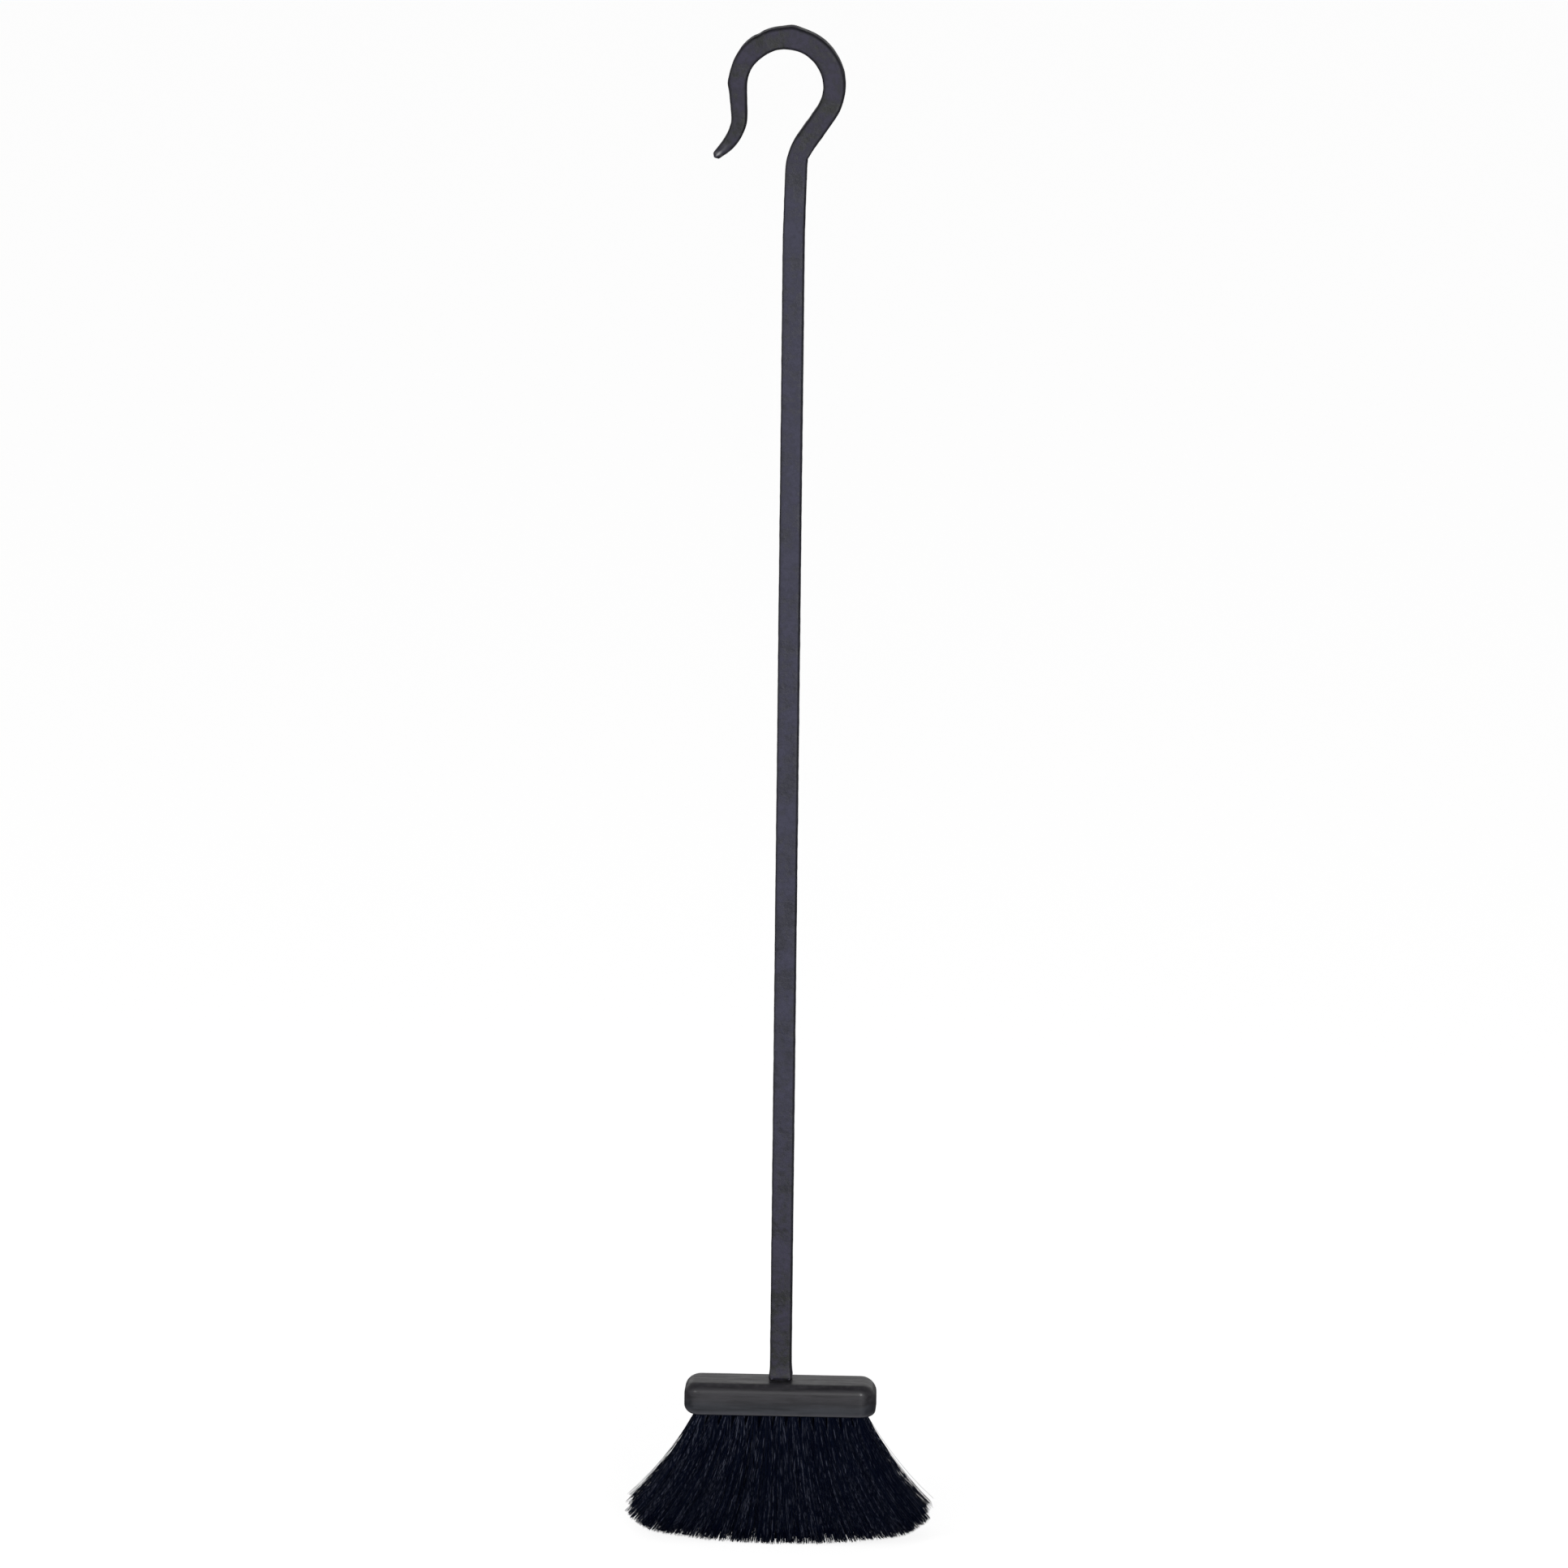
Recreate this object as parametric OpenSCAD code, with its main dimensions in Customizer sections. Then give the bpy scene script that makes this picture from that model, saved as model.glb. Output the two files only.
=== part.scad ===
// Hearth brush with a shepherd's crook handle.
// A square steel bar is bent over into a hook at the top and stands, on a threaded insert,
// in a lacquered hardwood block. Five rows of bristle tufts leave the block's underside.
// Each tuft is folded over a flat steel staple that bites into the walls of its hole.
// Origin: under the handle, at the level of the lowest bristle tips. Z runs up the handle,
// X along the block, and the crook opens towards -X. Millimetres and degrees.

/* [Overall] */
// Height from the lowest bristle tips to the top of the crook
overall_h = 914; // [600:1:1100]

/* [Handle bar] */
// Width of the square bar across its flats
bar_w = 12.7; // [10:0.1:16]
// Chamfer along the bar's four edges
bar_edge = 1.2; // [0.4:0.1:2]
// How far the upset foot stands out from the bar on each side
foot_flare = 0.9; // [0:0.1:2]
// Height over which the foot flares
foot_h = 9; // [4:0.5:20]
// Diameter of the threaded tenon under the foot
tenon_d = 8; // [5:0.1:9]

/* [Crook] */
// Inner radius of the crook, which hangs over a rail or peg
crook_r = 22.2; // [16:0.1:30]
// Angle by which the neck leans out of the upright, towards +X
neck_lean = 34; // [20:1:45]
// Length of the straight neck below the crook
neck_l = 22; // [10:1:40]
// Centreline radius of the bend between the shank and the neck
neck_bend_r = 31.6; // [20:0.1:60]
// Angle round the crook, from its +X side, where the bar begins to taper
taper_from = 135; // [100:1:170]
// Angle by which the free limb leans back in, under the crook
limb_lean = 3.8; // [0:0.1:12]
// Length of the limb's straight stretch
limb_l = 12.9; // [5:0.1:40]
// Centreline radius of the outward curl at the limb's end
curl_r = 27; // [16:0.5:50]
// Angle through which the curl turns outwards
curl_turn = 52; // [20:1:90]
// Length of the straight point beyond the curl
point_l = 6.5; // [3:0.1:15]
// Width of the bar at its rounded point
point_w = 5; // [3:0.1:8]

/* [Block] */
// Length of the block
block_l = 115; // [80:1:160]
// Depth of the block, front to back
block_d = 35; // [28:1:60]
// Thickness of the block
block_h = 19; // [15:0.5:30]
// Radius of the block's four corners, seen from above
block_corner_r = 9.5; // [7:0.1:13]
// Radius of the block's top edge
block_top_r = 5; // [1:0.1:6]
// Radius of the block's bottom edge
block_bottom_r = 1.2; // [0.5:0.1:3]

/* [Insert] */
// Thickness of the insert's wall round the tenon
insert_wall = 1.7; // [1:0.1:3]
// How far the collar stands out beyond the insert's body
collar_lip = 1.25; // [0.5:0.05:3]
// Height of the collar between the block and the handle's foot
collar_h = 1.2; // [0.8:0.1:6]
// Wood left between the insert's pocket and the tuft holes
pocket_web = 1.5; // [0.8:0.1:5]

/* [Bristles] */
// Free length of the middle bristles below the block
bristle_l = 76; // [50:1:110]
// Height above the block's underside of the point that all tufts fan out from
fan_focus = 80; // [60:1:150]
// Distance between neighbouring tufts of a row, along the block
tuft_pitch = 7.8; // [7:0.1:12]
// Least distance from the last tuft to the block's end
end_margin = 10; // [8:0.5:20]
// Distance from the outer rows to the block's long sides
side_margin = 5.5; // [5:0.1:9]
// Diameter of a tuft hole
hole_d = 5; // [3.5:0.1:5.5]
// Depth of a tuft hole
hole_depth = 8.5; // [6:0.1:10]
// Radius of the curve that the bristle tips are trimmed to
trim_r = 490; // [300:10:1500]

/* [Staples] */
// Thickness of a staple's flat wire
staple_t = 0.4; // [0.2:0.05:0.8]
// Height of a staple
staple_h = 2.4; // [1.5:0.1:4]
// How far each end of a staple bites into the wall of its hole
staple_bite = 0.4; // [0.2:0.05:0.8]

/* [Hidden] */
$fn = 64;

// Clearances
tenon_gap = 0.1;      // round the tenon, in the insert
tenon_end_gap = 1;    // under the tenon's end
tuft_clearance = 0.05;
tuft_gap = 0.8;       // between neighbouring tufts at their tips
staple_seat = 1;      // from the bottom of a hole to its staple
foot_edge = 1;        // chamfer round the bottom of the foot
slim = 0.01;          // by which each side of a straight stretch lies inside the bends' sides
run_in = 0.4;         // by which straight stretches run into the bends, so that they fuse

// Levels, from the tips up
block_z = bristle_l;
block_top = block_z + block_h;
foot_z = block_top + collar_h;

// Insert and tenon
insert_bore_d = tenon_d + 2 * tenon_gap;
insert_d = insert_bore_d + 2 * insert_wall;
collar_d = insert_d + 2 * collar_lip;
insert_depth = block_h - hole_depth - pocket_web;
tenon_l = collar_h + insert_depth - tenon_end_gap;

// Crook
foot_w = bar_w + 2 * foot_flare;
shank_z = foot_z + foot_edge + foot_h;
crook_line_r = crook_r + bar_w / 2;
crook_z = overall_h - crook_r - bar_w;
neck_end = crook_line_r * [cos(neck_lean), -sin(neck_lean)];
neck_run = neck_l * [sin(neck_lean), cos(neck_lean)];
bend_run = neck_bend_r * [1 - cos(neck_lean), sin(neck_lean)];
crook_x = bend_run.x + neck_run.x - neck_end.x;
neck_z = crook_z + neck_end.y - neck_run.y;
shank_top = neck_z - bend_run.y;

// The tapered limb, as stretches of [length, turn in degrees per millimetre]
deg_per_rad = 180 / PI;
crook_left = 90 + limb_lean - (taper_from - 90);
limb_stretches = [
    [crook_left / deg_per_rad * crook_line_r, deg_per_rad / crook_line_r],
    [limb_l, 0],
    [curl_turn / deg_per_rad * curl_r, -deg_per_rad / curl_r],
    [point_l, 0]
];
limb_total = limb_stretches[0][0] + limb_stretches[1][0] + limb_stretches[2][0] + limb_stretches[3][0];
limb_start = [
    crook_x + crook_line_r * cos(taper_from),
    crook_z + crook_line_r * sin(taper_from),
    taper_from + 90
];
limb_rings = 26;
cap_angles = [22, 44, 62, 76];
taper_power = 1.4;

// Tufts
rows = 5;
columns = floor((block_l - 2 * end_margin) / tuft_pitch) + 1;
row_pitch = (block_d - 2 * side_margin) / (rows - 1);
end_x = (columns - 1) / 2 * tuft_pitch;
end_y = (rows - 1) / 2 * row_pitch;
end_cos = fan_focus / norm([end_x, end_y, fan_focus]);
fan_growth = 1 + bristle_l / fan_focus;
tip_spacing = fan_growth * end_cos * min(tuft_pitch, norm([tuft_pitch / 2, row_pitch]));
tuft_r = hole_d / 2 - tuft_clearance;
tuft_tip_r = (tip_spacing - tuft_gap) / 2;
tuft_flare = (tuft_tip_r - tuft_r) / bristle_l;
overrun = 12;         // length of each tuft that the trim cuts away

// Position and heading after s along a stretch that turns k degrees per millimetre
function along(p, s, k) =
    k == 0
    ? [p.x + s * cos(p.z), p.y + s * sin(p.z), p.z]
    : [
        p.x + (sin(p.z + k * s) - sin(p.z)) * deg_per_rad / k,
        p.y - (cos(p.z + k * s) - cos(p.z)) * deg_per_rad / k,
        p.z + k * s
    ];

// Position and heading at distance s along the tapered limb
function limb_at(s, i = 0, p = limb_start) =
    let (stretch = limb_stretches[i])
    s <= stretch[0] || i == len(limb_stretches) - 1
    ? along(p, s, stretch[1])
    : limb_at(s - stretch[0], i + 1, along(p, stretch[0], stretch[1]));

// Width of the limb at distance s, before its point is rounded
function limb_w(s) = bar_w - (bar_w - point_w) * pow(max(s, 0) / limb_total, taper_power);

// The bar's chamfered square section, w wide
function section(w) =
    let (a = w / 2, b = a - bar_edge * w / bar_w)
    [[a, -b], [a, b], [b, a], [-b, a], [-a, b], [-a, -b], [-b, -a], [b, -a]];

// One ring of the limb: the section at distance s, drawn to a share of its width
function limb_ring(s, share) =
    let (p = limb_at(s))
    [for (q = section(limb_w(s) * share)) [p.x + q.x * sin(p.z), q.y, p.y - q.x * cos(p.z)]];

// Places of the tufts of a row, counted from the front; every second row is staggered
function row_y(row) = (row - (rows + 1) / 2) * row_pitch;
function row_tufts(row) =
    let (count = columns - (row + 1) % 2)
    [for (i = [0 : count - 1]) [(i - (count - 1) / 2) * tuft_pitch, row_y(row)]];

// Puts what is drawn up and down the Z axis on a tuft's own line, at the block's underside
module on_tuft_line(place) {
    translate([place.x, place.y, block_z])
        rotate([atan(place.y / norm([place.x, fan_focus])), -atan(place.x / fan_focus), 0])
            children();
}

// A slab whose thickness changes from w0 at the bottom to w1 at the top
module tapered_slab(w0, w1, h) {
    reach = max(w0, w1);
    rotate([90, 0, 0])
        linear_extrude(height = 2 * reach, center = true)
            polygon([[-w0 / 2, 0], [w0 / 2, 0], [w1 / 2, h], [-w1 / 2, h]]);
}

// A stretch of bar whose chamfered square section grows or shrinks
module tapered_bar(w0, w1, h) {
    across = sqrt(2);
    intersection() {
        tapered_slab(w0, w1, h);
        rotate([0, 0, 90]) tapered_slab(w0, w1, h);
        rotate([0, 0, 45]) tapered_slab((w0 - bar_edge) * across, (w1 - bar_edge) * across, h);
        rotate([0, 0, 135]) tapered_slab((w0 - bar_edge) * across, (w1 - bar_edge) * across, h);
    }
}

// What a rounded edge of radius r takes off a square corner
module rounding(r) {
    difference() {
        square(2 * r);
        circle(r);
    }
}

// Rounds off the two right-hand corners of a profile that is reach wide
module round_side(reach) {
    translate([reach - block_top_r, block_h - block_top_r]) rounding(block_top_r);
    translate([reach - block_bottom_r, block_bottom_r]) mirror([0, 1]) rounding(block_bottom_r);
}

// A straight bar of the block's full profile
module profile_bar(width, length) {
    rotate([90, 0, 0])
        linear_extrude(height = length, center = true)
            difference() {
                translate([-width / 2, 0]) square([width, block_h]);
                for (side = [0, 1])
                    mirror([side, 0]) round_side(width / 2);
            }
}

// A corner of the block: half its profile turned round an upright axis
module corner_post() {
    rotate_extrude()
        difference() {
            square([block_corner_r, block_h]);
            round_side(block_corner_r);
        }
}

module block_body() {
    post_x = block_l / 2 - block_corner_r;
    post_y = block_d / 2 - block_corner_r;
    profile_bar(block_l, 2 * post_y);
    rotate([0, 0, 90]) profile_bar(block_d, 2 * post_x);
    for (x = [-post_x, post_x], y = [-post_y, post_y])
        translate([x, y, 0]) corner_post();
}

// A straight stretch of bar that runs a little way into what is above and below it
module straight_stretch(length) {
    translate([0, 0, -run_in])
        linear_extrude(height = length + 2 * run_in) polygon(section(bar_w - 2 * slim));
}

module crook_arc() {
    translate([crook_x, 0, crook_z])
        rotate([90, 0, 0])
            rotate([0, 0, -neck_lean])
                rotate_extrude(angle = neck_lean + taper_from)
                    translate([crook_line_r, 0]) polygon(section(bar_w));
}

module neck_bend() {
    translate([neck_bend_r, 0, shank_top])
        rotate([90, 0, 0])
            rotate([0, 0, 180 - neck_lean])
                rotate_extrude(angle = neck_lean)
                    translate([neck_bend_r, 0]) polygon(section(bar_w));
}

module neck() {
    translate([bend_run.x, 0, neck_z])
        rotate([0, neck_lean, 0])
            straight_stretch(neck_l);
}

module tapered_limb() {
    cap_r = point_w / 2;
    root = [-run_in, 1 - 2 * slim / bar_w];
    body = [for (i = [1 : limb_rings]) [(limb_total - cap_r) * i / limb_rings, 1]];
    cap = [for (a = cap_angles) [limb_total - cap_r + cap_r * sin(a), cos(a)]];
    stations = concat([root], body, cap);
    sides = len(section(bar_w));
    last = len(stations) - 1;
    polyhedron(
        points = [for (s = stations) each limb_ring(s[0], s[1])],
        faces = concat(
            [[for (j = [0 : sides - 1]) j]],
            [for (i = [0 : last - 1], j = [0 : sides - 1]) let (k = (j + 1) % sides)
                [i * sides + j, (i + 1) * sides + j, (i + 1) * sides + k, i * sides + k]],
            [[for (j = [sides - 1 : -1 : 0]) last * sides + j]]
        )
    );
}

module handle_bar() {
    color([0.25, 0.25, 0.28]) {
        translate([0, 0, foot_z - tenon_l]) cylinder(d = tenon_d, h = tenon_l + foot_edge);
        translate([0, 0, foot_z]) tapered_bar(foot_w - 2 * foot_edge, foot_w, foot_edge);
        translate([0, 0, foot_z + foot_edge]) tapered_bar(foot_w, bar_w, foot_h);
        translate([0, 0, shank_z]) straight_stretch(shank_top - shank_z);
        neck_bend();
        neck();
        crook_arc();
        tapered_limb();
    }
}

module threaded_insert() {
    color([0.20, 0.20, 0.22])
        difference() {
            union() {
                translate([0, 0, block_top - insert_depth]) cylinder(d = insert_d, h = insert_depth);
                translate([0, 0, block_top]) cylinder(d = collar_d, h = collar_h);
            }
            translate([0, 0, block_top - 2 * insert_depth]) cylinder(d = insert_bore_d, h = 3 * insert_depth);
        }
}

module brush_block() {
    color([0.22, 0.22, 0.24])
        difference() {
            translate([0, 0, block_z]) block_body();
            translate([0, 0, block_top - insert_depth]) cylinder(d = insert_d, h = 2 * insert_depth);
            for (row = [1 : rows], place = row_tufts(row))
                on_tuft_line(place) {
                    translate([0, 0, -hole_depth]) cylinder(d = hole_d, h = 2 * hole_depth);
                    staple();
                }
        }
}

// One flat staple across a tuft hole
module staple() {
    translate([0, 0, hole_depth - staple_seat - staple_h / 2])
        cube([hole_d + 2 * staple_bite, staple_t, staple_h], center = true);
}

module staple_row(row) {
    color([0.62, 0.62, 0.64])
        for (place = row_tufts(row))
            on_tuft_line(place) staple();
}

// One tuft, turned in one piece: a straight root that fills its hole as far as the slanting
// mouth, and a cone of free bristles below it
module tuft() {
    mouth = tuft_r * sqrt(1 - end_cos * end_cos) / end_cos;
    free_l = bristle_l / end_cos + overrun;
    root_end = hole_depth - tuft_clearance;
    cone_end = -mouth - free_l;
    difference() {
        rotate_extrude()
            polygon([
                [0, cone_end], [tuft_r + tuft_flare * free_l, cone_end],
                [tuft_r, -mouth], [tuft_r, root_end], [0, root_end]
            ]);
        staple();
    }
}

module bristle_row(row) {
    color([0.06, 0.07, 0.10])
        intersection() {
            for (place = row_tufts(row))
                on_tuft_line(place) tuft();
            translate([0, 0, trim_r])
                rotate([90, 0, 0])
                    cylinder(r = trim_r, h = 4 * block_d, center = true, $fn = 720);
        }
}

handle_bar();
threaded_insert();
brush_block();
bristle_row(1);  // bristle_row_1
bristle_row(2);  // bristle_row_2
bristle_row(3);  // bristle_row_3
bristle_row(4);  // bristle_row_4
bristle_row(5);  // bristle_row_5
staple_row(1);  // staple_row_1
staple_row(2);  // staple_row_2
staple_row(3);  // staple_row_3
staple_row(4);  // staple_row_4
staple_row(5);  // staple_row_5
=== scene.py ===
# %% [markdown]
# # A hearth brush with a crook handle
# A hearth brush sweeps ash from the stones in front of a fire. This one has four kinds of
# piece to see: a forged bar bent into a crook, a steel collar, a lacquered block and five rows
# of bristle tufts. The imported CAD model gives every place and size. This lesson builds the
# surfaces that are seen around it, one piece at a time, as numpy arrays.

import math

import bpy
import numpy as np
from mathutils import Matrix, Vector


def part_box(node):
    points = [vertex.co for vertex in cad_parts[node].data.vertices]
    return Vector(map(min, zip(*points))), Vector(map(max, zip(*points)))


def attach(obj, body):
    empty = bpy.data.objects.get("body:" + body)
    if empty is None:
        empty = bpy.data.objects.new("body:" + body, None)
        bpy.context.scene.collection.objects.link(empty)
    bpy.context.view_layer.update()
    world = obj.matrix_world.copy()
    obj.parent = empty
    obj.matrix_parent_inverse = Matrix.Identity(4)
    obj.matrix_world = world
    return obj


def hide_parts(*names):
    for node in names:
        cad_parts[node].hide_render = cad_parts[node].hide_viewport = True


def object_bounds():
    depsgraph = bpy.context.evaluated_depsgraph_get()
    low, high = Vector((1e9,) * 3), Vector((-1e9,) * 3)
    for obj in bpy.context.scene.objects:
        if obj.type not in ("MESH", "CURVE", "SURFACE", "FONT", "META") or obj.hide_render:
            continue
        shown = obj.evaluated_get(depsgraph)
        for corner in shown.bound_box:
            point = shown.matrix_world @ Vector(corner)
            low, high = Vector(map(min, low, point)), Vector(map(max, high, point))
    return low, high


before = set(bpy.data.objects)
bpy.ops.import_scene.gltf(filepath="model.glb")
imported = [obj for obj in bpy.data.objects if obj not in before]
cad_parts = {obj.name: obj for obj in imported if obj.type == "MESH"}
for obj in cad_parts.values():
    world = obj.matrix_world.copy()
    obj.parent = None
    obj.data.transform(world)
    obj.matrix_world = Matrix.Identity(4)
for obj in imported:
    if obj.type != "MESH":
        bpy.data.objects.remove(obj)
cad_lo, cad_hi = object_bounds()
print("nodes:", ", ".join(sorted(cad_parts)))
print("CAD box in metres:", [round(v, 4) for v in (*cad_lo, *cad_hi)])

# %% [markdown]
# ## From arrays to a mesh
# Every surface here is a grid: rings of points, one after another. A ring that closes on itself
# gives a tube, and a tube needs a cap at each end. Blender could sweep curves for us, but a grid
# made in numpy lets each ring have its own size, which a forged bar needs. Whether the faces
# point outwards is measured, not guessed: a closed surface whose faces point outwards has a
# positive volume.

# %% Helpers for grids of points
MM = 0.001


def ring_faces(rings, around, closed_along=False):
    """Four-sided faces between each ring and the next: corner (i, j) joins (i, j + 1),
    (i + 1, j + 1) and (i + 1, j), where j wraps round the ring."""
    last = rings if closed_along else rings - 1
    i, j = np.meshgrid(np.arange(last), np.arange(around), indexing="ij")
    k, n = (j + 1) % around, (i + 1) % rings
    return np.stack([i * around + j, i * around + k, n * around + k, n * around + j], -1).reshape(-1, 4)


def fan_faces(ring_start, around, centre, flip):
    """Triangles from each side of one ring to a centre point."""
    j = np.arange(around)
    k = (j + 1) % around
    a, b = (k, j) if flip else (j, k)
    return np.stack([ring_start + a, ring_start + b, np.full(around, centre)], -1)


def volume(points, face_sets):
    """Volume inside a closed surface: a sixth of the sum of a . (b x c) over its triangles."""
    total = 0.0
    for faces in face_sets:
        for k in range(1, faces.shape[1] - 1):
            a, b, c = points[faces[:, 0]], points[faces[:, k]], points[faces[:, k + 1]]
            total += np.einsum("ij,ij->i", a, np.cross(b, c)).sum() / 6
    return total


def new_piece(name, points, face_sets, attributes=None):
    """Puts points and faces into a smooth mesh object, turned so that its faces point out."""
    size = volume(points, face_sets)
    if size < 0:
        face_sets = [faces[:, ::-1] for faces in face_sets]
    corners = np.concatenate([faces.ravel() for faces in face_sets])
    sides = np.concatenate([np.full(len(faces), faces.shape[1]) for faces in face_sets])
    mesh = bpy.data.meshes.new(name)
    mesh.vertices.add(len(points))
    mesh.vertices.foreach_set("co", points.astype(np.float32).ravel())
    mesh.loops.add(len(corners))
    mesh.loops.foreach_set("vertex_index", corners.astype(np.int32))
    mesh.polygons.add(len(sides))
    mesh.polygons.foreach_set("loop_start", (np.cumsum(sides) - sides).astype(np.int32))
    mesh.update(calc_edges=True)
    mesh.polygons.foreach_set("use_smooth", np.ones(len(sides), bool))
    for key, values in (attributes or {}).items():
        mesh.attributes.new(key, "FLOAT", "POINT").data.foreach_set("value", values.astype(np.float32))
    piece = bpy.data.objects.new(name, mesh)
    bpy.context.scene.collection.objects.link(piece)
    print(f"{name}: {(sides - 2).sum()} triangles, {abs(size) * 1e6:.1f} cm3")
    return piece


def finish_piece(piece, material, slot, *nodes):
    """Gives a piece its material, lets it ride on the root and stand for CAD nodes. The slot argument is not
    used.
    """
    piece.data.materials.append(material)
    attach(piece, "root")
    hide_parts(*nodes)


def capped_tube(points):
    """A grid of rings (rings, around, 3) as points and faces, each end closed by a fan."""
    rings, around, _ = points.shape
    flat = np.concatenate([points.reshape(-1, 3), points[0].mean(0)[None], points[-1].mean(0)[None]])
    first, last = rings * around, rings * around + 1
    caps = [fan_faces(0, around, first, True), fan_faces((rings - 1) * around, around, last, False)]
    return flat, [ring_faces(rings, around), *caps]


# %% [markdown]
# ## Unevenness that repeats the same way each time
# Hand work leaves slow hollows and swellings. A sum of a few waves with random directions gives
# such a field at any point of a surface, in one array operation, and a seed keeps it the same on
# every run.

# %% A soft random field
def soft_field(positions, wavelength, seed, waves=14):
    """Sum of cosines over the positions, whose directions and phases come from the seed. Their
    lengths lie round the wavelength, and the result lies mostly between -1 and 1."""
    draw = np.random.default_rng(seed)
    direction = draw.normal(size=(waves, positions.shape[-1]))
    direction /= np.linalg.norm(direction, axis=1, keepdims=True)
    rate = 2 * np.pi / (wavelength * draw.uniform(0.7, 1.6, waves))
    phase = draw.uniform(0, 2 * np.pi, waves)
    return np.cos(positions @ (direction * rate[:, None]).T + phase).sum(-1) / math.sqrt(waves)


def bump_at(s, place, half_width):
    """A smooth bump: 1 at the place, falling off as a bell whose half width is given."""
    return np.exp(-((s - place) / half_width) ** 2)


# %% [markdown]
# ## Small building blocks for shaders
# A node tree is easier to read when each node is one call. `add` makes a node, links what it is
# given as a socket and sets what it is given as a number. Effects that more than one finish
# shares are node groups, each with named inputs, and they hand back only masks and values.

# %% Node helpers
def add(tree, kind, inputs=None, **settings):
    """A new shader node: settings are its own properties, inputs are numbers or sockets."""
    node = tree.nodes.new("ShaderNode" + kind)
    for key, value in settings.items():
        setattr(node, key, value)
    for key, value in (inputs or {}).items():
        if isinstance(value, bpy.types.NodeSocket):
            tree.links.new(value, node.inputs[key])
        else:
            node.inputs[key].default_value = value
    return node


def maths(tree, operation, a, b=0.0):
    """The result of one sum on two numbers or sockets."""
    return add(tree, "Math", {0: a, 1: b}, operation=operation).outputs[0]


def between(tree, value, low, high, to_low=0.0, to_high=1.0):
    """Value carried from the range low..high to another range, and held within it."""
    names = {"Value": value, "From Min": low, "From Max": high, "To Min": to_low, "To Max": to_high}
    return add(tree, "MapRange", names, interpolation_type="SMOOTHSTEP").outputs["Result"]


def blend_colours(tree, factor, a, b):
    """Colour a where the factor is 0 and colour b where it is 1."""
    return add(tree, "Mix", {0: factor, 6: a, 7: b}, data_type="RGBA").outputs[2]


def new_group(name, inputs, outputs):
    """An empty node group with named sockets: inputs are (name, kind, value)."""
    group = bpy.data.node_groups.new(name, "ShaderNodeTree")
    for label, kind, value in inputs:
        socket = group.interface.new_socket(label, in_out="INPUT", socket_type="NodeSocket" + kind)
        socket.default_value = value
    for label in outputs:
        group.interface.new_socket(label, in_out="OUTPUT", socket_type="NodeSocketFloat")
    return group, group.nodes.new("NodeGroupInput").outputs, group.nodes.new("NodeGroupOutput").inputs


def use_group(tree, group, inputs):
    """Places a group in a material with its own values and gives its outputs."""
    node = tree.nodes.new("ShaderNodeGroup")
    node.node_tree = group
    for key, value in inputs.items():
        if isinstance(value, bpy.types.NodeSocket):
            tree.links.new(value, node.inputs[key])
        else:
            node.inputs[key].default_value = value
    return node.outputs


def new_material(name):
    """A material with its Principled shader: gives the material, its tree and the shader."""
    material = bpy.data.materials.new(name)
    material.use_nodes = True
    tree = material.node_tree
    return material, tree, tree.nodes["Principled BSDF"]


def feed(tree, shader, **sockets):
    """Links sockets or sets numbers on the shader, with _ standing for a space in a name."""
    for key, value in sockets.items():
        target = shader.inputs[key.replace("_", " ")]
        if isinstance(value, bpy.types.NodeSocket):
            tree.links.new(value, target)
        else:
            target.default_value = value


# %% [markdown]
# ## Effects that the finishes share
# *Mottle* is the slow unevenness of a coating. *Grain* is a noise stretched along one axis, for
# wood under lacquer and for drawn steel. *Edge wear* keeps a mask from the mesh only where a
# noise lets it through, because a rubbed edge is never rubbed evenly. *Dust* settles where a
# surface faces up.

# %% Shared node groups
def mottle_group():
    """Two noises, a slow one and one four times finer, added in the shares 0.7 and 0.3."""
    sockets = [("Scale", "Float", 20.0), ("Contrast", "Float", 1.0)]
    group, get, put = new_group("mottle", sockets, ["Value"])
    place = add(group, "TexCoord").outputs["Object"]
    slow = add(group, "TexNoise", {"Vector": place, "Scale": get["Scale"], "Detail": 3.0}).outputs[0]
    quick_scale = maths(group, "MULTIPLY", get["Scale"], 4.0)
    quick = add(group, "TexNoise", {"Vector": place, "Scale": quick_scale, "Detail": 4.0}).outputs[0]
    both = maths(group, "ADD", maths(group, "MULTIPLY", slow, 0.7), maths(group, "MULTIPLY", quick, 0.3))
    spread = maths(group, "MULTIPLY", maths(group, "SUBTRACT", both, 0.5), get["Contrast"])
    group.links.new(maths(group, "ADD", spread, 0.5), put["Value"])
    return group


def grain_group():
    """Noise on coordinates that are squeezed by the three numbers of Stretch."""
    sockets = [("Stretch", "Vector", (1, 1, 1)), ("Scale", "Float", 100.0)]
    group, get, put = new_group("grain", sockets, ["Value"])
    place = add(group, "TexCoord").outputs["Object"]
    pulled = add(group, "VectorMath", {0: place, 1: get["Stretch"]}, operation="MULTIPLY").outputs[0]
    settings = {"Vector": pulled, "Scale": get["Scale"], "Detail": 5.0, "Roughness": 0.6}
    group.links.new(add(group, "TexNoise", settings).outputs[0], put["Value"])
    return group


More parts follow.
